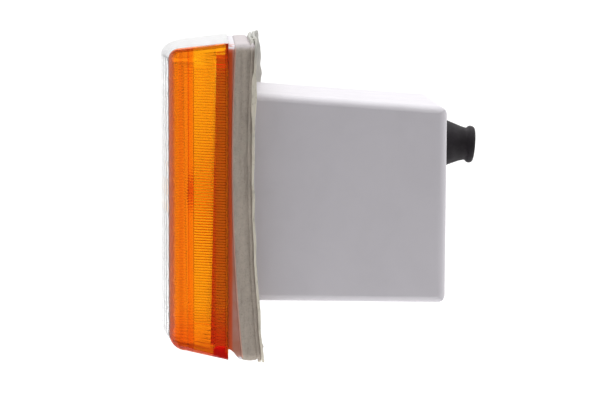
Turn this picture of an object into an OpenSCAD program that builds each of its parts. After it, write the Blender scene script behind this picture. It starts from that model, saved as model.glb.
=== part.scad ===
// Front indicator and position lamp for a vehicle.
// The lamp looks along -X, its cable boot points along +X, and +Z is up.
// The outboard side, with the amber section of the lens, is the -Y side.
// The origin is at the middle of the four panel screw holes, in the plane of the lens's rear rim.

/* [Lens] */
// Height of the lens at its rear rim
lens_h = 159; // [157:0.5:161]
// Width of the lens at its rear rim
lens_w = 124; // [122:0.5:126]
// Depth of the lens at its outboard edge
lens_d = 30; // [28:0.5:32]
// How far the front of the lens bulges at its middle
lens_crown = 5; // [2:0.5:6]
// Wall thickness of the lens
lens_t = 2.4; // [2.2:0.1:2.6]
// Width of the amber section's return onto the front
amber_w = 6; // [5:0.5:12]
// Height of the two lens screws above and below the middle
lens_screw_z = 64; // [62:0.5:65]

/* [Housing] */
// Distance from the lens rim to the back of the box
box_d = 110.5; // [100:0.5:120]
// Width of the box at its mouth
box_w = 100; // [99:0.5:101]
// Height of the box's top above the middle, at its mouth
box_top = 54.9; // [54:0.1:56]
// Depth of the box's bottom below the middle, at its mouth
box_bot = 51.6; // [51:0.1:53]
// Wall thickness of the box
wall = 2.6; // [2.2:0.1:3]
// Radius of the box's outer edges
edge_r = 5; // [4:0.5:6]

/* [Panel fit] */
// Thickness of the foam gasket between the flange and the body panel
gasket_t = 10; // [8:0.5:12]
// Radius of the body panel's bulge, which the flange and gasket follow
panel_r = 1000; // [900:50:1500]
// Spacing of the panel screws across the lamp
fix_y = 100; // [98:0.5:102]
// Spacing of the panel screws up the lamp
fix_z = 134; // [132:0.5:136]
// Radius of the panel screw holes
fix_r = 2.6; // [2.2:0.1:2.8]

/* [Cable boot] */
// Height of the boot's centre above the middle
boot_z = 24.8; // [20:0.1:30]
// Radius of the boot where it meets the box
boot_r = 13.4; // [13:0.1:14]
// Length of the boot behind the box
boot_l = 19.1; // [18:0.1:24]
// Radius of the boot's hole for the cable
boot_bore = 6.5; // [5:0.1:6.6]

/* [Bulb] */
// Height of the bulb's axis
bulb_z = -1; // [-3:0.5:3]
// Radius of the bulb's glass
bulb_r = 12.5; // [11:0.5:13]

/* [Hidden] */
top_fall = 4.07;    // fall of the box's top to the back, in degrees
bot_fall = 0.73;    // fall of its bottom
x_flange = 1.5;    // rear of the flange at the panel's crown
z_crown = 22;      // height of the panel's crown
spig_w = lens_w - 2 * lens_t - 3.4;   // locating wall that stands inside the lens
spig_h = lens_h - 2 * lens_t - 5.4;
fix_at = [for (a = [-1, 1], b = [-1, 1]) [a * fix_y / 2, b * fix_z / 2]];
lens_screw_at = [[0, lens_screw_z], [0, -lens_screw_z]];
refl_screw_at = [[-34, -61], [34, 61]];
tray_w = 92.8;     // reflector tray inside the box's mouth
tray_h = 97.6;
dish_r = 110;      // radius of the dished back of the reflector
dish_x = 26;       // deepest point of the dish
seat_x = 28.6;     // flat seat behind the dish for the bulb holder

// Extrudes a YZ outline from x0 to x1.
module along_x(x0, x1) { translate([x0, 0, 0]) rotate([90, 0, 90]) linear_extrude(x1 - x0) children(); }

// A rod along X from x0 to x1, at [y, z].
module rod(x0, x1, r, at, fn = 64) { translate([x0, at[0], at[1]]) rotate([0, 90, 0]) cylinder(r = r, h = x1 - x0, $fn = fn); }

// A ring along X, the same way.
module tube(x0, x1, r_out, r_in, at, fn = 64) {
    difference() { rod(x0, x1, r_out, at, fn); rod(x0 - 1, x1 + 1, r_in, at, fn); }
}

module rounded(w, h, r) {
    union() {
        square([w - 2 * r, h], center = true);
        square([w, h - 2 * r], center = true);
        for (a = [-1, 1], b = [-1, 1]) translate([a * (w / 2 - r), b * (h / 2 - r)]) circle(r, $fn = 64);
    }
}

// Everything behind the bulged panel surface whose crown is at x.
module panel_side(x) {
    translate([x + panel_r, 0, z_crown]) rotate([90, 0, 0]) cylinder(r = panel_r, h = 400, center = true, $fn = 720);
}

/* ---- lens ---- */

// Outer form of the lens, or its inner form where s is the wall.
module lens_form(s) {
    rt = 6 - s * 0.9;
    rb = 9 - s * 0.9;
    hull() {
        for (t = [-1, -0.5, 0, 0.5, 1]) {
            translate([-lens_d - lens_crown * (1 - t * t) + s + rt, t * (lens_w / 2 - 1.6 - s - rt), lens_h / 2 - 2.8 - s - rt])
                sphere(rt, $fn = 32);
            translate([-lens_d - lens_crown * (1 - t * t) + s + rb, t * (lens_w / 2 - 1.6 - s - rb), -lens_h / 2 + 4.3 + s + rb])
                sphere(rb, $fn = 32);
        }
        along_x(-0.2, s > 0 ? 1 : 0) rounded(lens_w - 2 * s, lens_h - 2 * s, 4);
    }
}

// The whole lens: a shell with two screw wells and a thick lug in each bottom corner.
module lens_body() {
    difference() {
        union() {
            difference() { lens_form(0); lens_form(lens_t); }
            intersection() {
                lens_form(0);
                union() {
                    for (p = lens_screw_at) rod(-40, -5, 5.5, p);
                    for (a = [-1, 1]) translate([-7.4, a > 0 ? lens_w / 2 - 8.5 : -lens_w / 2 - 1, -lens_h / 2 - 1]) cube([5.7, 9.5, 7.2]);
                }
            }
        }
        for (p = lens_screw_at) {
            rod(-50, -8, 3.9, p);
            rod(-50, 0, 2.2, p);
        }
    }
}

module lens_amber() {
    color("darkorange") intersection() {
        lens_body();
        translate([-60, -lens_w / 2 - 5, -100]) cube([80, 5 + amber_w, 200]);
    }
}

module lens_clear() {
    color("whitesmoke") intersection() {
        lens_body();
        translate([-60, -lens_w / 2 + amber_w, -100]) cube([80, 140, 200]);
    }
}

// Rubber strip between the lens rim and the locating wall.
module lens_seal() {
    color("gainsboro") difference() {
        along_x(-1.6, -0.02) rounded(lens_w - 2 * lens_t - 0.8, lens_h - 2 * lens_t - 1.6, 3);
        along_x(-3, 3) rounded(spig_w + 0.1, spig_h + 0.1, 3);
    }
}

module lens_screws() {
    color("silver") for (p = lens_screw_at) difference() {
        union() {
            rod(-11, -8.85, 3.6, p);
            rod(-9, 0.9, 1.9, p);
        }
        // Cross slot in the head
        for (q = [0, 90]) translate([-11, p[0], p[1]]) rotate([q, 0, 0]) cube([2, 4.6, 0.9], center = true);
    }
}

module lens_screw_washers() {
    color("black") for (p = lens_screw_at) tube(-8.83, -8.02, 3.6, 1.95, p);
}

module screw_inserts() {
    color("goldenrod") for (p = lens_screw_at) tube(-4.95, 1.2, 2.9, 1.92, p);
}

/* ---- housing ---- */

// The box's top and bottom, and the angles at which they fall to the back.
function top_z(x) = box_top - x * tan(top_fall);
function bot_z(x) = -box_bot - x * tan(bot_fall);

// Side outline of the box in X and Z, with rounded back corners.
module side_outline(s, x0, r) {
    xb = box_d - s;
    zt = top_z(xb - r) - (s + r) / cos(top_fall);
    zb = bot_z(xb - r) + (s + r) / cos(bot_fall);
    polygon([[x0, top_z(x0) - s / cos(top_fall)], [xb - r + r * sin(top_fall), zt + r * cos(top_fall)], [xb, zt], [xb, zb],
             [xb - r - r * sin(bot_fall), zb - r * cos(bot_fall)], [x0, bot_z(x0) + s / cos(bot_fall)]]);
    translate([xb - r, zt]) circle(r, $fn = 96);
    translate([xb - r, zb]) circle(r, $fn = 96);
}

// Plan outline in X and Y, with rounded back corners.
module plan_outline(s, x0, r) {
    w = box_w / 2 - s;
    xb = box_d - s;
    polygon([[x0, -w], [xb - r, -w], [xb, -w + r], [xb, w - r], [xb - r, w], [x0, w]]);
    for (a = [-1, 1]) translate([xb - r, a * (w - r)]) circle(r, $fn = 96);
}

// End outline in Y and Z, with its two upper corners rounded and its top at s below 0.
module end_outline(s, r) {
    w = box_w / 2 - s + 0.2;
    polygon([[-w, -200], [w, -200], [w, -s - r], [w - r, -s], [-w + r, -s], [-w, -s - r]]);
    for (a = [-1, 1]) translate([a * (w - r), -s - r]) circle(r, $fn = 96);
}

// Outer form of the box, or its inner form where s is the wall.
module box_form(s, x0) {
    r = edge_r - s * 0.6;
    intersection() {
        rotate([90, 0, 0]) linear_extrude(box_w + 20, center = true) side_outline(s, x0, r);
        translate([0, 0, -120]) linear_extrude(240) plan_outline(s, x0 - 3, r);
        translate([0, 0, box_top]) rotate([0, top_fall, 0]) along_x(-40, 160) end_outline(s, r);
        translate([0, 0, -box_bot]) rotate([0, bot_fall, 0]) mirror([0, 0, 1]) along_x(-40, 160) end_outline(s, r);
    }
}

// Outline of the flange and the gasket.
module flange_outline(grow) { translate([0, -0.85]) rounded(lens_w - 1.4 + 2 * grow, lens_h - 0.7 + 2 * grow, 5 + grow); }

module housing() {
    color("gainsboro") difference() {
        union() {
            box_form(0, 0.5);
            difference() {
                along_x(0, 9) flange_outline(0);
                panel_side(x_flange);
                // Pocket in the thick bottom of the flange
                difference() {
                    along_x(-1, 9) translate([0, -64]) rounded(78, 12, 3);
                    panel_side(x_flange - 2.2);
                    for (p = concat(lens_screw_at, refl_screw_at)) rod(-2, 12, p[0] == 0 ? 7 : 4, p);
                }
                // The bottom corners of the flange are cut back under the lens
                for (a = [-1, 1]) translate([0, a * 48, 0]) rotate([90, 0, 0]) linear_extrude(36, center = true)
                    polygon([[-1, -73.8], [0.3, -74], [1.6, -74.7], [2.8, -75.8], [4, -77.5], [5.2, -79.3], [6.4, -80.9], [6.4, -90], [-1, -90]]);
            }
            // Locating wall inside the lens. Its front edge slopes.
            difference() {
                along_x(-10, 0.3) rounded(spig_w, spig_h, 3);
                along_x(-11, 1) rounded(spig_w - 3.6, spig_h - 3.6, 2);
                translate([-7.4, 0, 0]) rotate([0, 1.15, 0]) translate([-20, -100, -100]) cube([20, 200, 200]);
                for (a = [-1, 1]) translate([-12, a > 0 ? lens_w / 2 - 9.5 : -lens_w / 2 - 1, -85]) cube([11.9, 10.5, 12.6]);
            }
            for (p = lens_screw_at) rod(-4.97, 1, 5, p);
        }
        box_form(wall, -6);
        for (p = lens_screw_at) rod(-6, 1.22, 2.92, p);
        for (p = refl_screw_at) rod(-2, 2, 1.3, p);
        for (p = fix_at) rod(-30, 30, fix_r, p);
        rod(60, 130, 10, [0, boot_z], 96);
        // Drain hole in the bottom of the box
        translate([100, 0, -80]) cylinder(r = 2, h = 40, $fn = 48);
    }
}

// Foam ring with a thin flared lip round its rear edge.
module panel_gasket() {
    color("darkgray") difference() {
        union() {
            intersection() { along_x(-5, 25) flange_outline(0.3); panel_side(x_flange + 0.02); }
            intersection() { along_x(-5, 25) flange_outline(3.2); panel_side(x_flange + gasket_t - 1.4); }
        }
        panel_side(x_flange + gasket_t);
        along_x(-21, 40) translate([0, (box_top - box_bot) / 2]) rounded(box_w + 0.8, box_top + box_bot + 0.8, edge_r + 0.4);
        for (p = fix_at) rod(-30, 60, fix_r + 0.6, p);
    }
}

// Rubber boot in the back of the box, with a groove that holds the wall and a lip at its end.
module cable_boot() {
    w = wall + 0.02;
    color("black") translate([box_d, 0, boot_z]) rotate([0, 90, 0]) rotate_extrude($fn = 128)
        polygon([[boot_bore, -w - 3], [10.6, -w - 3], [12, -w - 1.6], [12, -w], [9.98, -w], [9.98, 0.02], [boot_r, 0.02],
                 [boot_r, 1], [boot_r - 0.5, 2.4], [11.9, boot_l - 15], [8.5, boot_l - 4.6], [8.5, boot_l - 4.2],
                 [9.2, boot_l - 3.6], [9.7, boot_l - 2.6], [9.7, boot_l - 1.4], [9.2, boot_l - 0.5], [8.4, boot_l],
                 [7.4, boot_l], [boot_bore, boot_l - 0.6]]);
}

/* ---- reflector ---- */

module reflector() {
    color("lightgray") difference() {
        union() {
            along_x(-1.25, -0.05) rounded(spig_w - 4.4, spig_h - 4.4, 2);
            intersection() {
                along_x(-1.25, 40) translate([0, 0.6]) rounded(tray_w, tray_h, 6);
                translate([dish_x - dish_r, 0, 0]) sphere(dish_r + 1.4, $fn = 256);
            }
            rod(dish_x - 4, seat_x, 21, [0, bulb_z], 96);
        }
        intersection() {
            along_x(-3, 40) translate([0, 0.6]) rounded(tray_w - 2.8, tray_h - 2.8, 4.6);
            translate([dish_x - dish_r, 0, 0]) sphere(dish_r, $fn = 256);
        }
        rod(10, 50, 9.4, [0, bulb_z], 96);
        for (p = lens_screw_at) rod(-3, 3, 5.7, p);
        for (p = refl_screw_at) rod(-3, 3, 1.75, p);
        for (i = [0:2]) rod(10, 50, 1.55, holder_rivet(i), 32);
    }
}
function holder_rivet(i) = [14.5 * cos(90 + i * 120), bulb_z + 14.5 * sin(90 + i * 120)];

module reflector_screws() {
    color("silver") for (p = refl_screw_at) difference() {
        union() {
            rod(-2.9, -1.27, 3, p, 48);
            rod(-1.6, 1.9, 1.28, p, 48);
        }
        for (q = [0, 90]) translate([-2.9, p[0], p[1]]) rotate([q, 0, 0]) cube([1.4, 3.6, 0.7], center = true);
    }
}

/* ---- bulb holder ---- */

// Steel disc against the seat, with the earth blade bent back from its edge.
module bulb_holder_flange() {
    color("silver") difference() {
        union() {
            rod(seat_x + 0.02, seat_x + 1.2, 19.5, [0, bulb_z], 96);
            translate([seat_x + 0.02, -3.15, bulb_z - 22]) cube([1.18, 6.3, 4]);
            translate([seat_x + 0.02, -3.15, bulb_z - 22.6]) cube([14, 6.3, 0.8]);
        }
        rod(20, 40, 8.5, [0, bulb_z], 96);
        for (i = [0:2]) rod(20, 40, 1.55, holder_rivet(i), 32);
        translate([seat_x + 10, 0, bulb_z - 30]) cylinder(r = 0.9, h = 20, $fn = 32);
    }
}

module bulb_holder_rivets() {
    color("silver") for (i = [0:2]) union() {
        rod(dish_x - 2.3, seat_x + 1.9, 1.5, holder_rivet(i), 32);
        rod(seat_x + 1.22, seat_x + 2.1, 2.6, holder_rivet(i), 32);
        rod(dish_x - 2.3, dish_x - 1.42, 2.6, holder_rivet(i), 32);
    }
}

// Bayonet shell with an L slot on each side and its rear edge turned in.
module bulb_holder_shell() {
    color("silver") difference() {
        union() {
            tube(12, 44, 8.45, 7.85, [0, bulb_z], 96);
            tube(43.2, 44, 8.2, 6.4, [0, bulb_z], 96);
            tube(seat_x + 1.22, seat_x + 2, 9.3, 7.85, [0, bulb_z], 96);
        }
        for (a = [-1, 1]) {
            translate([11, a > 0 ? 6 : -10, bulb_z - 1.2]) cube([12.4, 4, 2.4]);
            translate([21, a > 0 ? 6 : -10, a > 0 ? bulb_z - 1.2 : bulb_z - 3.4]) cube([2.4, 4, 4.6]);
        }
    }
}

module bulb_holder_plate() {
    color("saddlebrown") difference() {
        rod(32.1, 33.9, 7.7, [0, bulb_z], 96);
        for (a = [-1, 1]) rod(30, 36, 1.02, [a * 3.2, bulb_z], 32);
    }
}

module bulb_holder_contacts() {
    color("goldenrod") for (a = [-1, 1]) union() {
        rod(31.52, 32.08, 2, [a * 3.2, bulb_z], 32);
        rod(31.6, 47, 1, [a * 3.2, bulb_z], 32);
    }
}

// Coil spring behind the contact plate.
module bulb_holder_spring() {
    n = 5; m = 24; k = 8; r = 6.6; w = 0.45;
    x0 = 33.95 + w; x1 = 43.15 - w;
    steps = n * m;
    pts = [for (i = [0:steps]) let (a = 360 * i / m, x = x0 + (x1 - x0) * i / steps)
        for (j = [0:k - 1]) let (b = 360 * j / k, rr = r + w * cos(b)) [x + w * sin(b), rr * cos(a), bulb_z + rr * sin(a)]];
    sides = [for (i = [0:steps - 1], j = [0:k - 1]) let (j2 = (j + 1) % k) [i * k + j, i * k + j2, (i + 1) * k + j2, (i + 1) * k + j]];
    color("silver") polyhedron(points = pts, faces = concat(sides, [[for (j = [k - 1:-1:0]) j]], [[for (j = [0:k - 1]) steps * k + j]]), convexity = 8);
}

/* ---- bulb ---- */

// Half section of the glass, shrunk by s: a round bulb that necks down to the cap.
function glass_half(s) = let (r = bulb_r - s, c = -21.9 + bulb_r) concat(
    [[0, c - r]],
    [for (a = [-80:10:40]) [r * cos(a), c + r * sin(a)]],
    [[7 - s, c + 18], [7 - s, 13.98]], [[0, 13.98]]);

module bulb_glass() {
    color("white") translate([0, 0, bulb_z]) rotate([0, 90, 0]) difference() {
        rotate_extrude($fn = 96) polygon(glass_half(0));
        rotate_extrude($fn = 96) polygon(glass_half(0.7));
        translate([0, 0, 12]) cylinder(r = 6.3, h = 6, $fn = 96);
    }
}

module bulb_stem() {
    color("white") union() {
        rod(3, 13.96, 2.4, [0, bulb_z], 48);
        rod(12.4, 13.96, 6.1, [0, bulb_z], 48);
    }
}

module lead(x0, y, z0) { translate([x0, y, bulb_z + z0]) rotate([0, 90, 0]) cylinder(r = 0.3, h = 2.9 - x0, $fn = 24); }
module filament(x, z0, r) { translate([x, -4.1, bulb_z + z0]) rotate([-90, 0, 0]) cylinder(r = r, h = 8.2, $fn = 24); }

module bulb_filaments() {
    color("dimgray") union() {
        for (y = [-3.4, 3.4]) { lead(-10.2, y, 0.9); lead(-6.2, y, -1.4); }
        filament(-9.8, 0.9, 0.5);
        filament(-5.8, -1.4, 0.4);
        translate([1.6, -4, bulb_z - 2]) cube([1.2, 8, 3.6]);
    }
}

module bulb_cap() {
    color("goldenrod") union() {
        tube(14, 28, 7.6, 7.1, [0, bulb_z], 96);
        tube(27.4, 28, 7.4, 5, [0, bulb_z], 96);
        for (a = [-1, 1]) translate([22.2, a > 0 ? 7.3 : -9.1, bulb_z]) rotate([-90, 0, 0]) cylinder(r = 1, h = 1.8, $fn = 32);
    }
}

module bulb_cap_insulator() {
    color("black") difference() {
        union() {
            rod(27.0, 27.38, 7, [0, bulb_z], 96);
            rod(27.0, 29.6, 4.95, [0, bulb_z], 96);
        }
        for (a = [-1, 1]) rod(29, 31, 1.6, [a * 3.2, bulb_z], 32);
    }
}

module bulb_contacts() {
    color("silver") for (a = [-1, 1]) rod(29.02, 31.5, 1.58, [a * 3.2, bulb_z], 32);
}

housing();
panel_gasket();
lens_clear();
lens_amber();
lens_seal();
lens_screws();
lens_screw_washers();
screw_inserts();
reflector();
reflector_screws();
bulb_holder_flange();
bulb_holder_rivets();
bulb_holder_shell();
bulb_holder_plate();
bulb_holder_contacts();
bulb_holder_spring();
bulb_glass();
bulb_stem();
bulb_filaments();
bulb_cap();
bulb_cap_insulator();
bulb_contacts();
cable_boot();
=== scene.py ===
import bpy, bmesh, math
import numpy as np
from mathutils import Matrix, Vector, noise


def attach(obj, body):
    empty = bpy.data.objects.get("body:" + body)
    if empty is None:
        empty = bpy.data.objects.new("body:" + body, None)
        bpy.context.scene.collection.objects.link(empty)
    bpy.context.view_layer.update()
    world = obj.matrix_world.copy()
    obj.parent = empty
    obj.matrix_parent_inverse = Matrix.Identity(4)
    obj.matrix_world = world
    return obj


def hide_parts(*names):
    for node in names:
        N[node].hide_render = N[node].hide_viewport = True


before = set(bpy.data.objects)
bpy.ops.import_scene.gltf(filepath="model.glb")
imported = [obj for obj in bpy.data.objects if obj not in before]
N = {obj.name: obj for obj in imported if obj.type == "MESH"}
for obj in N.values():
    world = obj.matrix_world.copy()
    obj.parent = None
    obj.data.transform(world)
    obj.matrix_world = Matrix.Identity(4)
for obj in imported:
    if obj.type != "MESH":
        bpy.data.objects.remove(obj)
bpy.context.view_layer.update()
MM = 0.001


def lerp(a, b, f):
    return a + (b - a) * f


def smooth(a, b, v):
    """0 at a and 1 at b, with soft ends. a may be the greater one."""
    f = min(1.0, max(0.0, (v - a) / (b - a)))
    return f * f * (3 - 2 * f)


# ---------------------------------------------------------------- camera
cam_d = bpy.data.cameras.new("cam")
cam = bpy.data.objects.new("cam", cam_d)
bpy.context.scene.collection.objects.link(cam)
cam_d.sensor_width = 36
cam_d.lens = 2200.0 * 36 / 600
cam_d.clip_start, cam_d.clip_end = 0.01, 200
az, el, roll = math.radians(-2.4), math.radians(6.62), math.radians(0.247)
target = Vector((0.035664, -0.062, 0.000977))
back = Vector((math.sin(az) * math.cos(el), -math.cos(az) * math.cos(el), math.sin(el)))
right = (-back).cross(Vector((0, 0, 1))).normalized()
up = right.cross(-back)
r2 = right * math.cos(roll) + up * math.sin(roll)
u2 = -right * math.sin(roll) + up * math.cos(roll)
pos = target + back * 1.09716
cam.matrix_world = Matrix(((r2.x, u2.x, back.x, pos.x), (r2.y, u2.y, back.y, pos.y), (r2.z, u2.z, back.z, pos.z), (0, 0, 0, 1)))
bpy.context.scene.camera = cam


# ---------------------------------------------------------------- material tools
class Mat:
    """A Principled material with a few helpers that add procedural nodes to it."""

    def __init__(self, name, **sockets):
        self.m = bpy.data.materials.new(name)
        self.m.use_nodes = True
        self.nt = self.m.node_tree
        self.b = self.nt.nodes["Principled BSDF"]
        for k, v in sockets.items():
            s = self.b.inputs[k.replace("_", " ")]
            s.default_value = (*v, 1) if isinstance(v, tuple) and len(v) == 3 and s.type == "RGBA" else v
        self.tc = self.nt.nodes.new("ShaderNodeTexCoord")

    def coords(self, scale=(1, 1, 1), rot=(0, 0, 0)):
        mp = self.nt.nodes.new("ShaderNodeMapping")
        mp.inputs["Scale"].default_value = scale
        mp.inputs["Rotation"].default_value = rot
        self.nt.links.new(self.tc.outputs["Object"], mp.inputs["Vector"])
        return mp.outputs["Vector"]

    def noise(self, scale, detail=4, rough=0.55, distort=0.0, vec=None):
        n = self.nt.nodes.new("ShaderNodeTexNoise")
        n.inputs["Scale"].default_value = scale
        n.inputs["Detail"].default_value = detail
        n.inputs["Roughness"].default_value = rough
        n.inputs["Distortion"].default_value = distort
        self.nt.links.new(vec or self.coords(), n.inputs["Vector"])
        return n.outputs["Fac"]

    def cells(self, scale, vec=None, feature="F1"):
        n = self.nt.nodes.new("ShaderNodeTexVoronoi")
        n.feature = feature
        n.inputs["Scale"].default_value = scale
        self.nt.links.new(vec or self.coords(), n.inputs["Vector"])
        return n.outputs["Distance"]

    def ramp(self, fac, *stops):
        r = self.nt.nodes.new("ShaderNodeValToRGB")
        e = r.color_ramp.elements
        while len(e) < len(stops):
            e.new(0.5)
        for i, (p, c) in enumerate(stops):
            e[i].position = p
            e[i].color = (c, c, c, 1) if not isinstance(c, tuple) else (*c, 1)
        self.nt.links.new(fac, r.inputs["Fac"])
        return r.outputs["Color"]

    def axis(self, which):
        s = self.nt.nodes.new("ShaderNodeSeparateXYZ")
        self.nt.links.new(self.tc.outputs["Object"], s.inputs[0])
        return s.outputs["XYZ".index(which)]

    def span(self, v, a, b, lo=0.0, hi=1.0, kind="SMOOTHSTEP"):
        n = self.nt.nodes.new("ShaderNodeMapRange")
        n.interpolation_type = kind
        for k, x in (("From Min", a), ("From Max", b), ("To Min", lo), ("To Max", hi)):
            n.inputs[k].default_value = x
        self.nt.links.new(v, n.inputs["Value"])
        return n.outputs["Result"]

    def math(self, op, a, b):
        n = self.nt.nodes.new("ShaderNodeMath")
        n.operation = op
        for i, v in enumerate((a, b)):
            if isinstance(v, (int, float)):
                n.inputs[i].default_value = v
            else:
                self.nt.links.new(v, n.inputs[i])
        return n.outputs[0]

    def mix(self, fac, a, b, kind="MIX"):
        n = self.nt.nodes.new("ShaderNodeMix")
        n.data_type = "RGBA"
        n.blend_type = kind
        n.clamp_factor = True
        for s, v in ((n.inputs[0], fac), (n.inputs[6], a), (n.inputs[7], b)):
            if isinstance(v, tuple):
                s.default_value = (*v, 1)
            elif isinstance(v, (int, float)):
                s.default_value = v
            else:
                self.nt.links.new(v, s)
        return n.outputs[2]

    def put(self, socket, value):
        self.nt.links.new(value, self.b.inputs[socket])

    def bump(self, height, strength, dist, under=None):
        n = self.nt.nodes.new("ShaderNodeBump")
        n.inputs["Strength"].default_value = strength
        n.inputs["Distance"].default_value = dist
        self.nt.links.new(height, n.inputs["Height"])
        if under:
            self.nt.links.new(under, n.inputs["Normal"])
        self.nt.links.new(n.outputs["Normal"], self.b.inputs["Normal"])
        return n.outputs["Normal"]


def shade(c, k):
    return tuple(min(1.0, x * k) for x in c)


# ---------------------------------------------------------------- materials
# Moulded white plastic. Next to the amber lens its edge carries painted light: red light from the lens and painted
# shade on the flange's near side.
m = Mat("housing_white", Roughness=0.36, IOR=1.5)
WHITE = (0.655, 0.63, 0.672)
cloud = m.ramp(m.noise(38, 5, 0.6, 0.4), (0.28, shade(WHITE, 0.965)), (0.5, WHITE), (0.74, shade(WHITE, 1.03)))
soot = m.span(m.noise(210, 6, 0.7, 1.2, m.coords((1, 1, 0.35))), 0.66, 0.8, 0, 0.10)
cloud = m.mix(soot, cloud, (0.36, 0.31, 0.27))
# Painted light: near the rim on the near side, a mauve painted shade with red reflected light, and a deeper red painted
# glow right at the rim.
edge = m.math("MULTIPLY", m.span(m.axis("Y"), -0.0597, -0.0607), m.span(m.axis("X"), -0.0003, 0.0001))
uneven = m.span(m.noise(95, 3), 0.3, 0.7, 0.86, 1.0)
spigot = m.span(m.axis("X"), -0.0001, -0.0004)
cloud = m.mix(spigot, cloud, (0.98, 0.965, 0.95))
cloud = m.mix(m.math("MULTIPLY", m.math("MULTIPLY", edge, uneven), m.span(m.axis("X"), 0.0075, 0.0095, 1, 0)), cloud, (0.45, 0.165, 0.105))
cloud = m.mix(m.math("MULTIPLY", edge, m.span(m.axis("X"), 0.0012, 0.0028, 1, 0)), cloud, (0.63, 0.075, 0.008))
# Painted light: the lens's red light reaches over the flange's top edge as a faint painted glow.
over = m.math("MULTIPLY", m.span(m.axis("Y"), -0.02, -0.05), m.span(m.axis("Z"), 0.0772, 0.0778))
over = m.math("MULTIPLY", over, m.span(m.axis("X"), 0.006, 0.003))
over = m.math("MULTIPLY", over, m.span(m.noise(170, 3, 0.5, 0.6), 0.38, 0.6))
cloud = m.mix(over, cloud, (0.5, 0.2, 0.17))
m.put("Base Color", cloud)
m.put("Roughness", m.span(m.noise(130, 4), 0.3, 0.7, 0.32, 0.42))
m.bump(m.noise(1400, 3), 0.10, 0.00006)
housing_mat = m.m

# Aged foam: open pores with painted shade in them, streaks along the rim, stains.
m = Mat("foam_grey", Roughness=0.92, IOR=1.4, Specular_IOR_Level=0.25)
FOAM = (0.465, 0.405, 0.348)
streak = m.noise(60, 6, 0.65, 0.6, m.coords((7, 2.2, 0.8)))
c = m.ramp(streak, (0.3, shade(FOAM, 0.72)), (0.48, FOAM), (0.68, shade(FOAM, 1.12)))
stain = m.span(m.noise(38, 4, 0.6, 0.8), 0.55, 0.78, 0, 0.5)
c = m.mix(stain, c, (0.40, 0.41, 0.34))
pores = m.cells(900)
# Painted shade: each pore is coloured dark in its pit.
c = m.mix(m.span(pores, 0.0, 0.35, 0.45, 0.0), c, (0.14, 0.12, 0.09))
c = m.mix(m.span(m.noise(420, 5, 0.7), 0.35, 0.65, 0, 0.28), c, shade(FOAM, 0.6))
# Painted light: a pinkish glow of the lens's amber light on the foam's near side, close to its front face.
zz = m.math("SUBTRACT", m.axis("Z"), 0.022)
depth = m.math("SUBTRACT", m.math("SUBTRACT", m.axis("X"), 0.0015), m.math("MULTIPLY", m.math("MULTIPLY", zz, zz), 0.5))
painted_amber_glow = m.math("MULTIPLY", m.span(depth, 0.0011, 0.0005), m.span(m.axis("Y"), -0.0592, -0.0603))
c = m.mix(m.math("MULTIPLY", painted_amber_glow, 0.85), c, (0.66, 0.36, 0.28))
# Painted light: the top face is lighter and cooler, as if lit from above.
c = m.mix(m.span(m.axis("Z"), 0.0755, 0.0782, 0, 0.8), c, (0.56, 0.52, 0.545))
m.put("Base Color", c)
n1 = m.bump(m.noise(95, 5, 0.6, 0, m.coords((3, 1, 1))), 0.5, 0.0006)
m.bump(m.math("ADD", m.noise(900, 4, 0.7), m.math("MULTIPLY", pores, 1.6)), 0.55, 0.0002, n1)
foam_mat = m.m

# The foam's cream skin on its flared rear lip.
m = Mat("foam_skin", Roughness=0.8, IOR=1.4, Specular_IOR_Level=0.3)
SKIN = (0.70, 0.655, 0.555)
c = m.ramp(m.noise(120, 6, 0.65, 0.7, m.coords((2.5, 1, 1))), (0.3, shade(SKIN, 0.66)), (0.5, SKIN), (0.7, shade(SKIN, 1.08)))
c = m.mix(m.span(m.noise(330, 4, 0.6), 0.6, 0.75, 0, 0.55), c, (0.26, 0.22, 0.16))
# It's greyer at the top and on the inboard side.
c = m.mix(m.span(m.axis("Z"), 0.066, 0.076, 0, 0.85), c, (0.40, 0.395, 0.365))
c = m.mix(m.span(m.axis("Y"), -0.045, 0.0, 0, 0.7), c, (0.56, 0.56, 0.53))
m.put("Base Color", c)
m.bump(m.noise(520, 5, 0.65), 0.6, 0.0003)
skin_mat = m.m

# Black rubber with a faint bloom.
m = Mat("rubber_black", Roughness=0.6, IOR=1.5, Specular_IOR_Level=0.22)
c = m.ramp(m.noise(160, 5, 0.6), (0.3, (0.012, 0.0095, 0.012)), (0.7, (0.024, 0.020, 0.024)))
c = m.mix(m.span(m.noise(600, 5, 0.7), 0.62, 0.8, 0, 0.35), c, (0.07, 0.062, 0.066))
m.put("Base Color", c)
m.put("Roughness", m.span(m.noise(220, 4), 0.3, 0.7, 0.5, 0.7))
m.bump(m.noise(1100, 4, 0.6), 0.22, 0.0001)
rubber_mat = m.m

m = Mat("rubber_grey", Roughness=0.75)
m.put("Base Color", m.ramp(m.noise(300, 4), (0.3, (0.74, 0.73, 0.70)), (0.7, (0.82, 0.81, 0.79))))
m.bump(m.noise(900, 3), 0.2, 0.0001)
seal_mat = m.m

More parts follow.
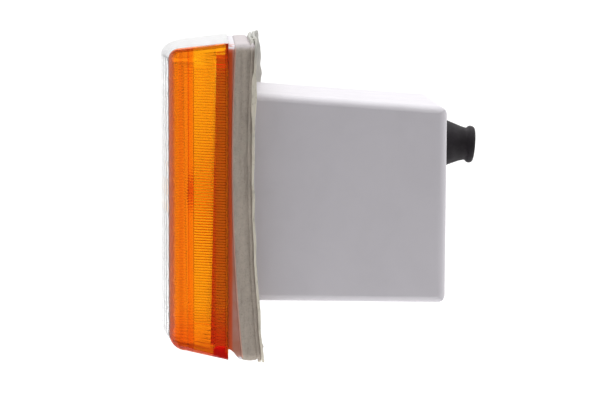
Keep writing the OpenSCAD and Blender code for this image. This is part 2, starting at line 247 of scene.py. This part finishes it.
# Amber acrylic: the colour grows with the thickness that the light passes.
m = Mat("lens_amber", Base_Color=(1.0, 0.86, 0.55), Roughness=0.03, IOR=1.49, Transmission_Weight=1.0)
front = m.ramp(m.span(m.axis("X"), -0.030, -0.020, kind="LINEAR"), (0.0, (0.84, 0.2, 0.006)), (0.14, (0.86, 0.22, 0.006)), (0.28, (0.88, 0.23, 0.006)), (0.5, (0.88, 0.22, 0.006)),
               (0.58, (0.78, 0.165, 0.005)), (0.7, (0.78, 0.165, 0.005)), (0.8, (0.86, 0.21, 0.006)), (1.0, (0.86, 0.22, 0.006)))
c = m.mix(m.span(m.axis("X"), -0.0166, -0.0181), (1.0, 0.86, 0.55), (0.92, 0.43, 0.012))
c = m.mix(m.span(m.axis("X"), -0.0195, -0.0197), c, front)
c = m.mix(m.span(m.axis("Z"), -0.050, -0.072), c, m.mix(1.0, c, (0.93, 0.6, 0.4), "MULTIPLY"))
# Its thin top and bottom walls are tinted like the rest.
slant = m.math("SUBTRACT", m.axis("Z"), m.math("MULTIPLY", m.axis("X"), 0.1167))
ends = m.span(slant, 0.0788, 0.0790)
slant = m.math("ADD", m.axis("Z"), m.math("MULTIPLY", m.axis("X"), 0.2048))
ends = m.math("MAXIMUM", ends, m.span(slant, -0.0788, -0.0790))
c = m.mix(ends, c, (0.96, 0.32, 0.02))
# Where it's welded to the clear section it's matt, and its inside is duller than its outside.
weld = m.span(m.axis("Y"), -0.05603, -0.05601)
inside = m.span(m.math("ADD", m.axis("Y"), m.math("MULTIPLY", m.axis("X"), 0.0667)), -0.0617, -0.0610)
dull = m.math("MULTIPLY", inside, m.span(m.axis("Z"), -0.0700, -0.0718, 0.11, 0.45))
m.put("Roughness", m.math("ADD", m.span(m.noise(260, 4), 0.35, 0.7, 0.02, 0.06), dull))
# A bead of white sealant runs round the inside of the rim.
bead = m.math("MULTIPLY", inside, m.span(m.axis("X"), -0.0014, -0.0012))
bead = m.math("MULTIPLY", bead, m.span(m.axis("Z"), -0.0735, -0.0725))
m.put("Base Color", m.mix(bead, m.mix(weld, c, (0.98, 0.68, 0.3)), (0.97, 0.95, 0.93)))
m.put("Transmission Weight", m.math("SUBTRACT", 1.0, m.math("MAXIMUM", weld, bead)))
m.bump(m.noise(55, 3), 0.02, 0.0004)
va = m.nt.nodes.new("ShaderNodeVolumeAbsorption")
va.inputs["Color"].default_value = (0.994, 0.84, 0.10, 1)
va.inputs["Density"].default_value = 2400.0
m.nt.links.new(va.outputs[0], m.nt.nodes["Material Output"].inputs["Volume"])
amber_mat = m.m

# Clear acrylic.
m = Mat("lens_clear", Base_Color=(0.985, 0.99, 1.0), Roughness=0.02, IOR=1.49, Transmission_Weight=1.0)
m.put("Roughness", m.span(m.noise(240, 4), 0.35, 0.75, 0.01, 0.06))
m.bump(m.noise(50, 3), 0.05, 0.0004)
clear_mat = m.m

# The weld between the two lens sections, which scatters light.
weld_mat = bpy.data.materials.new("lens_weld")
weld_mat.use_nodes = True
wn = weld_mat.node_tree
wn.nodes.remove(wn.nodes["Principled BSDF"])
dif, tra, mx = wn.nodes.new("ShaderNodeBsdfDiffuse"), wn.nodes.new("ShaderNodeBsdfTranslucent"), wn.nodes.new("ShaderNodeMixShader")
for k in (dif, tra):
    k.inputs["Color"].default_value = (0.96, 0.86, 0.8, 1)
wn.links.new(dif.outputs[0], mx.inputs[1])
wn.links.new(tra.outputs[0], mx.inputs[2])
wn.links.new(mx.outputs[0], wn.nodes["Material Output"].inputs["Surface"])

m = Mat("bulb_glass", Base_Color=(0.96, 0.66, 0.2), Roughness=0.0, IOR=1.5, Transmission_Weight=1.0)
m.bump(m.noise(90, 2), 0.04, 0.0003)
glass_mat = m.m

# Vacuum silvering over moulded plastic, slightly wavy.
m = Mat("silvered", Metallic=1.0, Roughness=0.15)
m.put("Base Color", m.ramp(m.noise(50, 4), (0.3, (0.86, 0.86, 0.87)), (0.7, (0.93, 0.93, 0.93))))
m.put("Roughness", m.span(m.noise(180, 5), 0.3, 0.75, 0.2, 0.32))
m.bump(m.noise(70, 3), 0.12, 0.0006)
silver_mat = m.m


def metal(name, color, rough, dark):
    k = Mat(name, Metallic=1.0, Roughness=rough)
    f = k.noise(420, 5, 0.65)
    k.put("Base Color", k.ramp(f, (0.3, dark), (0.6, color)))
    k.put("Roughness", k.span(k.noise(700, 4), 0.3, 0.7, rough * 0.75, rough * 1.4))
    k.bump(k.noise(1500, 3), 0.12, 0.00008)
    return k.m


steel_mat = metal("plated_steel", (0.66, 0.65, 0.62), 0.3, (0.46, 0.45, 0.42))
brass_mat = metal("brass", (0.76, 0.56, 0.26), 0.28, (0.5, 0.34, 0.14))
solder_mat = metal("solder", (0.6, 0.6, 0.58), 0.42, (0.4, 0.4, 0.39))
tungsten_mat = metal("tungsten", (0.34, 0.33, 0.33), 0.42, (0.2, 0.2, 0.2))

m = Mat("insulator", Roughness=0.5)
m.put("Base Color", m.ramp(m.noise(500, 5), (0.3, (0.13, 0.06, 0.025)), (0.7, (0.2, 0.10, 0.045))))
board_mat = m.m
m = Mat("black_glass", Roughness=0.12)
m.put("Base Color", m.ramp(m.noise(500, 4), (0.3, (0.01, 0.01, 0.012)), (0.7, (0.03, 0.03, 0.035))))
black_mat = m.m

USE = {"housing": housing_mat, "panel_gasket": foam_mat, "lens_clear": clear_mat, "lens_amber": amber_mat, "lens_seal": seal_mat,
       "lens_screws": steel_mat, "lens_screw_washers": seal_mat, "screw_inserts": brass_mat, "reflector": silver_mat,
       "reflector_screws": steel_mat, "bulb_holder_flange": steel_mat, "bulb_holder_rivets": steel_mat, "bulb_holder_shell": steel_mat,
       "bulb_holder_plate": board_mat, "bulb_holder_contacts": brass_mat, "bulb_holder_spring": steel_mat, "bulb_glass": glass_mat,
       "bulb_stem": glass_mat, "bulb_filaments": tungsten_mat, "bulb_cap": brass_mat, "bulb_cap_insulator": black_mat,
       "bulb_contacts": solder_mat, "cable_boot": rubber_mat}
for n, o in N.items():
    o.data.materials.clear()
    o.data.materials.append(USE[n])


# ---------------------------------------------------------------- mesh tools
def finish_mesh(name, bm, mats, sharp=20.0):
    bmesh.ops.recalc_face_normals(bm, faces=bm.faces)
    for f in bm.faces:
        f.smooth = True
    lim = math.radians(sharp)
    for e in bm.edges:
        e.smooth = len(e.link_faces) == 2 and e.calc_face_angle(0) < lim
    me = bpy.data.meshes.new(name)
    bm.to_mesh(me)
    bm.free()
    o = bpy.data.objects.new(name, me)
    bpy.context.scene.collection.objects.link(o)
    for k in mats:
        me.materials.append(k)
    return o


def boolean(o, other, op):
    md = o.modifiers.new("b", "BOOLEAN")
    md.object, md.operation, md.solver = other, op, "EXACT"
    bpy.context.view_layer.update()
    dg = bpy.context.evaluated_depsgraph_get()
    me = bpy.data.meshes.new_from_object(o.evaluated_get(dg))
    o.modifiers.clear()
    old = o.data
    o.data = me
    bpy.data.meshes.remove(old)
    me2 = other.data
    bpy.data.objects.remove(other)
    bpy.data.meshes.remove(me2)


def refit(o, mats):
    """Puts the materials back after a boolean, and keeps each face's own."""
    keep = np.zeros(len(o.data.polygons), dtype=np.int32)
    o.data.polygons.foreach_get("material_index", keep)
    print(o.name, "faces by material", np.bincount(keep).tolist())
    o.data.materials.clear()
    for k in mats:
        o.data.materials.append(k)
    o.data.polygons.foreach_set("material_index", np.minimum(keep, len(mats) - 1))


def sharpen(o, sharp=20.0):
    bm = bmesh.new()
    bm.from_mesh(o.data)
    lim = math.radians(sharp)
    for f in bm.faces:
        f.smooth = True
    for e in bm.edges:
        e.smooth = len(e.link_faces) == 2 and e.calc_face_angle(0) < lim
    bm.to_mesh(o.data)
    bm.free()


def turned(profile, at, n=64, name="t"):
    """A closed solid turned round an X axis through at: profile is [(x, r), ...] with r 0 at both ends."""
    bm = bmesh.new()
    rows = []
    for x, r in profile:
        if r == 0:
            rows.append([bm.verts.new((x * MM, at[0] * MM, at[1] * MM))])
        else:
            rows.append([bm.verts.new((x * MM, (at[0] + r * math.cos(2 * math.pi * i / n)) * MM, (at[1] + r * math.sin(2 * math.pi * i / n)) * MM)) for i in range(n)])
    for a, b in zip(rows, rows[1:]):
        for i in range(n):
            j = (i + 1) % n
            q = [a[i % len(a)], a[j % len(a)], b[j % len(b)], b[i % len(b)]]
            u = []
            for v in q:
                if v not in u:
                    u.append(v)
            if len(u) > 2:
                bm.faces.new(u)
    return bm


def join_bm(bms):
    out = bmesh.new()
    for b in bms:
        me = bpy.data.meshes.new("tmp")
        b.to_mesh(me)
        out.from_mesh(me)
        b.free()
        bpy.data.meshes.remove(me)
    return out


# ---------------------------------------------------------------- lens
CROWN = 5.0


def crown(y):
    return CROWN * max(0.0, 1 - (y / 54.4) ** 2)


def lens_skin(sgn, s, xs, cols, rows, zmap, bevel_n=8, corner_n=6, extra=None, rib=None, pillow=None, lug=None, edge=None, taper=0.0):
    """One skin of the lens as rings from the rim to the front, and a front patch. Open at y = cols[0].
    Returns the points, the quads and the first ring."""
    # s is the wall's thickness at the side, and v its thickness along the top, bottom and front edges.
    v = s if edge is None else edge
    rt, rb = 6 - 0.9 * v, 9 - 0.9 * v
    we, te, be, xf = 60.4 - s, 76.7 - v, -75.2 + v, -30.0 + v
    c0, ct1, cb1 = max(0.4, 0.8 - 0.2 * v), max(0.6, 1.6 - 0.4 * v), max(0.8, 2.4 - 0.4 * v)
    R = []
    for x in xs:
        f = x / (xf + rt)
        blend = smooth(0.8, 1.0, f)
        xb = lerp(x, x / (xf + rt) * (xf + rb), blend)
        fb = xb / (xf + rb)
        w = lerp(62 - s, we, f) - (extra(x) if extra else 0)
        b = lerp(-79.5 + v, be, min(1, fb))
        if lug:
            b = max(b, lug(x))
        R.append((x, xb, w, lerp(79.5 - v, te, f), b, lerp(c0, ct1, f), lerp(c0, cb1, f), f, 0.0))
    w1 = we - (extra(xf + rt) if extra else 0)
    for j in range(1, bevel_n + 1):
        p = math.pi / 2 * j / bevel_n
        si, co = math.sin(p), math.cos(p)
        co = 0.0 if j == bevel_n else co
        R.append((xf + rt - rt * si, xf + rb - rb * si, w1 - rt * (1 - co), te - rt * (1 - co), be + rb * (1 - co), ct1 * co, cb1 * co, 1.0, p))
    P, Q = [], []
    nt, ns = len(cols), len(rows)
    for xt, xb, w, t, b, ct, cb, cr, p in R:
        line = []
        ye = sgn * (w - ct)
        for yj in cols:
            line.append((lerp(cols[0], ye, (yj - cols[0]) / (cols[-1] - cols[0])), t))
        for k in range(1, corner_n):
            a = math.pi / 2 * (1 - k / corner_n)
            line.append((sgn * (w - ct + ct * math.cos(a)), t - ct + ct * math.sin(a)))
        for i in range(ns):
            z = zmap(i, xt, t - ct, b + cb)
            d = rib(i, xt, p) if rib else 0
            line.append((sgn * (w - d), z))
        for k in range(1, corner_n):
            a = -math.pi / 2 * k / corner_n
            line.append((sgn * (w - cb + cb * math.cos(a)), b + cb + cb * math.sin(a)))
        for yj in reversed(cols):
            ye2 = sgn * (w - cb)
            line.append((lerp(cols[0], ye2, (yj - cols[0]) / (cols[-1] - cols[0])), b))
        for y, z in line:
            x = lerp(xt, xb, (t - z) / (t - b)) - cr * crown(y)
            # Towards the weld the wall gets thinner.
            k = taper * smooth(-52.3, -55.9, y)
            up = 1 if z > 0 else -1
            P.append([x - k * math.sin(p), y, z + k * math.cos(p) * up])
    L = 2 * nt + ns + 2 * (corner_n - 1)
    for k in range(len(R) - 1):
        for i in range(L - 1):
            Q.append((k * L + i, k * L + i + 1, (k + 1) * L + i + 1, (k + 1) * L + i))
    # Front patch
    last = (len(R) - 1) * L
    side0 = last + nt + corner_n - 1
    idx = {}
    for j in range(nt):
        idx[j, 0] = last + j
        idx[j, ns - 1] = last + L - 1 - j
    for i in range(ns):
        idx[nt - 1, i] = side0 + i
    for j in range(nt - 1):
        for i in range(1, ns - 1):
            y = P[last + j][1]
            z = P[side0 + i][2]
            t, b = P[last][2], P[last + L - 1][2]
            x = lerp(R[-1][0], R[-1][1], (t - z) / (t - b)) - crown(y) - taper * smooth(-52.3, -55.9, y)
            P.append([x, y, z])
            idx[j, i] = len(P) - 1
    if pillow:
        for j in range(nt):
            for i in range(ns):
                P[idx[j, i]][0] += pillow(P[idx[j, i]][1], P[idx[j, i]][2], j, i)
    for j in range(nt - 1):
        for i in range(ns - 1):
            Q.append((idx[j, i], idx[j, i + 1], idx[j + 1, i + 1], idx[j + 1, i]))
    return P, Q, list(range(L))


def lens_piece(name, outer, inner, cut_y, keep_below, mats):
    """Joins two skins at the rim, cuts them off at y = cut_y and caps the cut."""
    (P1, Q1, L1), (P2, Q2, L2) = outer, inner
    bm = bmesh.new()
    v1 = [bm.verts.new([c * MM for c in p]) for p in P1]
    v2 = [bm.verts.new([c * MM for c in p]) for p in P2]
    for q in Q1:
        bm.faces.new([v1[i] for i in q])
    for q in Q2:
        f = bm.faces.new([v2[i] for i in reversed(q)])
        # The slope that meets the weld is as matt as the weld.
        if len(mats) > 1 and all(v.co.y < -0.0522 for v in f.verts):
            f.material_index = 1
    for a, b in zip(range(len(L1) - 1), range(1, len(L1))):
        bm.faces.new([v1[L1[b]], v1[L1[a]], v2[L2[a]], v2[L2[b]]])
    bmesh.ops.remove_doubles(bm, verts=bm.verts, dist=2e-6)
    no = (0, 1, 0) if keep_below else (0, -1, 0)
    bmesh.ops.bisect_plane(bm, geom=bm.verts[:] + bm.edges[:] + bm.faces[:], dist=1e-7, plane_co=(0, cut_y * MM, 0), plane_no=no, clear_outer=True)
    rim = [e for e in bm.edges if len(e.link_faces) == 1]
    bmesh.ops.holes_fill(bm, edges=rim, sides=0)
    left = [e for e in bm.edges if len(e.link_faces) == 1]
    print(name, "open edges", len(left), "faces", len(bm.faces))
    if len(mats) > 1:
        for f in bm.faces:
            if all(abs(v.co.y - cut_y * MM) < 1e-6 for v in f.verts):
                f.material_index = 1
    return finish_mesh(name, bm, mats)


# Amber side: ribs along the inside of the wall, a thicker front zone and a thick lug at the bottom.
PITCH = 1.36
PER = 8
TILT = math.tan(math.radians(-2.75))
zm = [76.6, 76.2, 75.8, 75.4, 75.0]
rib_phase = [None] * len(zm)
z = 74.6
k = 0
while z > -71.0:
    zm.append(z)
    rib_phase.append(k % PER)
    z -= PITCH / PER
    k += 1
ZT, ZB, HI, LO = zm[0], zm[-1], 70.2, -62.5


def amber_z(i, x, T, B):
    v = zm[i]
    s = (x + 13) * TILT
    if v > HI:
        return lerp(HI + s, T, (v - HI) / (ZT - HI))
    if v < LO:
        return lerp(LO + s, B, (LO - v) / (LO - ZB))
    return v + s


ARC = math.radians(52)
RR = PITCH / 2 / math.sin(ARC)


def amber_rib(i, x, p):
    # The wall is thinner where it stands over the locating wall.
    thin = 0.0 if x < -6.5 else (1.1 if x < -1.2 else 1.2)
    thin *= smooth(-76, -71, zm[i]) * smooth(76.4, 65, zm[i])
    ph = rib_phase[i]
    if ph is None:
        return -thin
    u = (ph / PER) * 2 - 1
    g = math.sqrt(RR * RR - (u * PITCH / 2) ** 2) - RR * math.cos(ARC)
    if x > -17.3:
        a = 1.0
    elif x > -22.6:
        a = 0.2
    else:
        a = 0.5 * math.cos(p)
    a *= 1 - smooth(66.5, 69.5, zm[i]) * smooth(-9, -15, x)
    return a * g - thin


def amber_extra(x):
    if x > -17.3:
        return 0.0
    return 0.0 if x > -20.1 else -2.0


def amber_lug(x):
    if not -7.4 <= x <= -0.5:
        return -200.0
    k = min(1.0, (x + 7.4) / 2.4)
    return -73.3 - 2.4 * (1 - math.sqrt(max(0.0, 1 - (1 - k) ** 2)))


acols = [-50.0, -51.5, -53.0, -54.4]
outer = lens_skin(-1, 0.0, [0, -3, -6, -9, -12, -15, -18, -20, -22, -24], acols, zm, amber_z)
inner = lens_skin(-1, 2.4, [0, -1.15, -1.25, -1.7, -1.8, -4, -5.1, -5.6, -6.1, -6.45, -6.55, -6.8, -7.1, -7.3, -7.39, -7.45, -10, -13, -16, -17.2, -17.4, -20.0, -20.2, -21,
                            -22.5, -22.7, -23.96], acols, zm, amber_z, extra=amber_extra, rib=amber_rib, lug=amber_lug, edge=0.4)
amber = lens_piece("lens_amber_shell", outer, inner, -56.0, True, [amber_mat])
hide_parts("lens_amber")
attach(amber, "root")

# Clear front and inboard side, with pillow optics inside.
NY, NZ, SUB = 13, 16, 8
ccols = [-58.0, -56.2] + [-54.4 + 108.8 * j / (NY * SUB) for j in range(NY * SUB + 1)]
crow = list(range(NZ * SUB + 1))


def clear_z(i, x, T, B):
    return lerp(T, B, i / (NZ * SUB))


def pillow(y, z, j, i):
    if j < 2:
        return 0.0
    u = ((j - 2) % SUB) / SUB * 2 - 1
    v = (i % SUB) / SUB * 2 - 1
    return 1.15 * (1 - 0.5 * u * u - 0.5 * v * v)


outer = lens_skin(1, 0.0, [0, -3, -7, -12, -17, -21, -24], ccols, crow, clear_z)
inner = lens_skin(1, 2.4, [0, -1.7, -1.8, -7.3, -7.5, -12, -17, -20.5, -23.76], ccols, crow, clear_z, pillow=pillow, taper=1.7)
clear = lens_piece("lens_clear_shell", outer, inner, -55.98, False, [clear_mat, weld_mat])
boolean(clear, finish_mesh("wells", join_bm([turned([(-33.1, 0), (-33.1, 5.5), (-5, 5.5), (-5, 0)], (0, s * 64)) for s in (-1, 1)]), []), "UNION")
boolean(clear, finish_mesh("bores", join_bm([turned([(-45, 0), (-45, 3.9), (-8, 3.9), (-8, 2.2), (3, 2.2), (3, 0)], (0, s * 64)) for s in (-1, 1)]), []), "DIFFERENCE")
refit(clear, (clear_mat, weld_mat))
sharpen(clear)
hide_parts("lens_clear")
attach(clear, "root")


# ---------------------------------------------------------------- foam gasket
def rounded_path(y0, y1, z0, z1, r, counts):
    """Points round a rounded rectangle, the same number on each side and corner for any size, with outward normals."""
    out = []
    side, corner = counts
    legs = [((y0 + r, z1), (y1 - r, z1), (0, 1), side[0]), ((y1, z1 - r), (y1, z0 + r), (1, 0), side[1]),
            ((y1 - r, z0), (y0 + r, z0), (0, -1), side[0]), ((y0, z0 + r), (y0, z1 - r), (-1, 0), side[1])]
    centres = [(y1 - r, z1 - r, 90), (y1 - r, z0 + r, 0), (y0 + r, z0 + r, -90), (y0 + r, z1 - r, 180)]
    for (a, b, nrm, cnt), (cy, cz, a0) in zip(legs, centres):
        for i in range(cnt):
            f = i / cnt
            out.append((lerp(a[0], b[0], f), lerp(a[1], b[1], f), nrm))
        for i in range(corner):
            g = math.radians(a0 - 90 * i / corner)
            out.append((cy + r * math.cos(g), cz + r * math.sin(g), (math.cos(g), math.sin(g))))
    return out


def arc_x(z):
    return 1.5 + (z - 22.0) ** 2 / 2000.0


counts = ((190, 250), 10)
po = rounded_path(-61.6, 61.6, -80.3, 78.6, 5.3, counts)
pi = rounded_path(-50.4, 50.4, -52.05, 55.3, 5.4, counts)
bm = bmesh.new()
sections, skin_from = [], []
for (yo, zo, nr), (yi, zi, _) in zip(po, pi):
    q = Vector((yo * 0.045, zo * 0.045, 0))
    a = 0.5 * noise.noise(q * 1.3 + Vector((3, 1, 5)))
    w1 = 1.5 * noise.noise(q * 1.7 + Vector((11, 2, 0))) + 0.5 * noise.noise(q * 5 + Vector((1, 7, 3)))
    w2 = 1.3 * noise.noise(q * 1.5 + Vector((5, 21, 4))) + 0.4 * noise.noise(q * 6 + Vector((8, 7, 3)))
    g = 0.6 * max(0.0, noise.noise(q * 2.2 + Vector((9, 9, 1))))
    l1 = min(1.0, max(0.35, 0.72 + 0.7 * noise.noise(q * 2.4 + Vector((2, 5, 8)))))
    l2 = min(1.0, max(0.3, 0.75 + 0.7 * noise.noise(q * 1.9 + Vector((4, 1, 8)))))
    corner = smooth(60, 78, abs(zo)) * smooth(48, 60, abs(yo))
    flare = smooth(48, 61, yo) * smooth(38, 54, zo) * (1 - 0.55 * smooth(68, 80, zo))
    near = smooth(-52, -60.5, yo)
    w2 = lerp(w2, 0.55 * w2, near) + 5.8 * flare
    w1 = lerp(w1, 0.3 * w1, near) + 1.6 * flare
    l1 *= 1 - 0.85 * near
    l2 *= 1 - 0.45 * near
    d1, d2 = lerp(-0.75, -0.4, near), lerp(-0.7 - g, -0.12, near)
    # The lip is wide between z 40 and 66 on the near side, and narrow lower down.
    wide = 0.8 * near * smooth(66, 60, zo) * smooth(38, 48, zo)
    out = [(-0.9, 0.05), (-0.3, 0.2), (0.0, 0.8), (0.12 + a * 0.4, 1.8), (0.25 + a, 3.2), (0.3 + a, 4.6), (0.18 + a, 6.0), (0.0 + a * 0.5, 7.0), (d1 * 0.45, 7.6),
           (d1, 7.95), (d1 + 0.05, 8.15), (lerp(0.2, d1 + 0.15, near), 8.2 + 0.3 * w1), (1.0 * l1, 8.25 + 0.7 * w1), (1.8 * l1, 8.45 + w1), (2.15 * l1, 8.8 + w1), (2.1 * l1, 9.2 + w1),
           (1.5 * l1, 9.45 + w1 * 0.9), (0.6 * l1, 9.5 + 0.5 * w1 - wide), (lerp(-0.2, 0.0, near), 9.55 + 0.2 * w1 - wide), (d2, 9.75 - wide), (d2, 10.0 - wide),
           (lerp(0.1, 0.2, near), 10.05 + 0.25 * w2 - wide), (1.2 * l2, 10.1 + 0.7 * w2 - wide), (2.3 * l2, 10.3 + w2 - 0.6 * wide), (2.95 * l2, 10.7 + w2), (3.0 * l2, 11.1 + w2 + wide * 0.3),
           (2.4 * l2, 11.35 + w2 + wide * 0.5), (1.2 * l2, 11.25 + 0.8 * w2 + wide * 0.5), (0.2, 10.95 + 0.4 * w2), (-0.8, 10.6), (-2.2, 10.2)]
    sec = []
    for f in (0.0, 0.3, 0.6):
        sec.append((lerp(yi, yo, f), lerp(zi, zo, f), 0.02))
    for u, d in out:
        rough = 0.1 * noise.noise(Vector((yo * 0.3, zo * 0.3, d * 0.5)))
        sec.append((yo + nr[0] * (u + rough), zo + nr[1] * (u + rough), d))
    for f in (0.6, 0.3, 0.0):
        bow = 0.12 * noise.noise(Vector((yo * 0.1, zo * 0.1, f * 9)))
        sec.append((lerp(yi, yo, f), lerp(zi, zo, f), 9.95 + bow))
    sec.append((yi, zi, 5.0))
    sections.append([bm.verts.new(((arc_x(zz) + dd) * MM, yy * MM, zz * MM)) for yy, zz, dd in sec])
    skin_from.append(25 if near > 0.5 else 13)
nsec = len(sections[0])
for s in range(len(sections)):
    A, B = sections[s], sections[(s + 1) % len(sections)]
    for i in range(nsec):
        j = (i + 1) % nsec
        f = bm.faces.new((A[i], A[j], B[j], B[i]))
        f.material_index = 1 if skin_from[s] <= i <= 32 else 0
gasket = finish_mesh("panel_gasket_foam", bm, [foam_mat, skin_mat], 60)
boolean(gasket, finish_mesh("screw_ways", join_bm([turned([(-6, 0), (-6, 3.2), (30, 3.2), (30, 0)], (a * 50, b * 67), 48) for a in (-1, 1) for b in (-1, 1)]), []), "DIFFERENCE")
refit(gasket, (foam_mat, skin_mat))
sharpen(gasket, 60)
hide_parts("panel_gasket")
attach(gasket, "root")

# ---------------------------------------------------------------- cable boot
BX, BZ, BL = 110.5, 24.8, 19.1
prof = [(-5.6, 6.5), (-5.6, 10.5), (-4.2, 12.0), (-2.66, 12.0), (-2.62, 11.6), (-2.6, 9.98), (0.04, 9.98), (0.04, 12.9), (0.2, 13.3), (0.7, 13.4), (1.3, 13.3),
        (2.2, 12.9), (3.2, 12.45), (4.3, 12.05), (6.5, 11.15), (9.0, 10.2), (11.5, 9.25), (13.6, 8.65), (14.5, 8.5), (15.0, 8.65), (15.5, 9.2), (16.1, 9.62),
        (16.9, 9.75), (17.7, 9.62), (18.4, 9.25), (18.85, 8.8), (19.08, 8.2), (19.0, 7.4), (18.6, 6.85), (17.8, 6.5), (8.0, 6.5)]
NB = 128
bm = bmesh.new()
rows = []
for x, r in prof:
    f = max(0.0, x / BL)
    cz, lean = -1.1 * f * f, -0.045 * f * 1.6
    row = []
    for i in range(NB):
        a = 2 * math.pi * i / NB
        rr = r + (0.03 * noise.noise(Vector((x * 0.4, math.cos(a) * 2, math.sin(a) * 2))) if x > 0.5 else 0)
        # A fine mould line on both sides
        if x > 0.5 and r > 6.6:
            rr += 0.09 * math.exp(-((math.sin(a) * r / 0.22) ** 2))
        yy, zz = rr * math.cos(a), rr * math.sin(a)
        row.append(bm.verts.new(((BX + x - zz * lean) * MM, yy * MM, (BZ + cz + zz) * MM)))
    rows.append(row)
for k in range(len(rows)):
    A, B = rows[k], rows[(k + 1) % len(rows)]
    for i in range(NB):
        j = (i + 1) % NB
        bm.faces.new((A[i], A[j], B[j], B[i]))
boot = finish_mesh("cable_boot_rubber", bm, [rubber_mat], 50)
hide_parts("cable_boot")
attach(boot, "root")

# ---------------------------------------------------------------- floor, world and lights
sc = bpy.context.scene
sc.view_settings.view_transform = "Standard"
sc.view_settings.look = "None"
sc.cycles.blur_glossy = 0.0
bm = bmesh.new()
bmesh.ops.create_grid(bm, x_segments=8, y_segments=8, size=1)
bmesh.ops.scale(bm, vec=(30, 15.5, 1), verts=bm.verts)
fm = Mat("floor", Roughness=0.9, Emission_Strength=0.12)
fm.b.inputs["Emission Color"].default_value = (1, 1, 1, 1)
fm.put("Base Color", fm.ramp(fm.noise(3, 3), (0.3, (0.88, 0.88, 0.88)), (0.7, (0.9, 0.9, 0.9))))
floor = finish_mesh("floor", bm, [fm.m])
floor.location = (0, 14.7, -0.35)

w = bpy.data.worlds.new("studio")
sc.world = w
w.use_nodes = True
nt = w.node_tree
bg = nt.nodes["Background"]
tc = nt.nodes.new("ShaderNodeTexCoord")
sp = nt.nodes.new("ShaderNodeSeparateXYZ")
nt.links.new(tc.outputs["Generated"], sp.inputs[0])


def wrange(v, a, b, lo, hi):
    n = nt.nodes.new("ShaderNodeMapRange")
    n.interpolation_type = "SMOOTHSTEP"
    for k, x in (("From Min", a), ("From Max", b), ("To Min", lo), ("To Max", hi)):
        n.inputs[k].default_value = x
    nt.links.new(v, n.inputs["Value"])
    return n.outputs["Result"]


def wmath(op, a, b):
    n = nt.nodes.new("ShaderNodeMath")
    n.operation = op
    for i, v in enumerate((a, b)):
        if isinstance(v, (int, float)):
            n.inputs[i].default_value = v
        else:
            nt.links.new(v, n.inputs[i])
    return n.outputs[0]


side = wrange(sp.outputs[1], -0.8, 0.05, 0.10, 1.03)
top = wrange(sp.outputs[2], 0.35, 0.85, 0.0, 0.66)
total = wmath("ADD", side, top)
lp = nt.nodes.new("ShaderNodeLightPath")
seen = wmath("MAXIMUM", lp.outputs["Is Camera Ray"], 0.0)
mixn = nt.nodes.new("ShaderNodeMix")
nt.links.new(seen, mixn.inputs[0])
nt.links.new(total, mixn.inputs[2])
mixn.inputs[3].default_value = 1.03
nt.links.new(mixn.outputs[0], bg.inputs["Strength"])
bg.inputs["Color"].default_value = (1, 1, 1, 1)


def area(name, loc, aim, size, power):
    l = bpy.data.lights.new(name, "AREA")
    l.size = size
    l.energy = power
    o = bpy.data.objects.new(name, l)
    sc.collection.objects.link(o)
    o.location = loc
    o.rotation_mode = "QUATERNION"
    o.rotation_quaternion = (Vector(aim) - Vector(loc)).to_track_quat("-Z", "Y")


area("top", (0.05, 0.1, 1.1), (0.04, 0, 0), 1.0, 4.0)
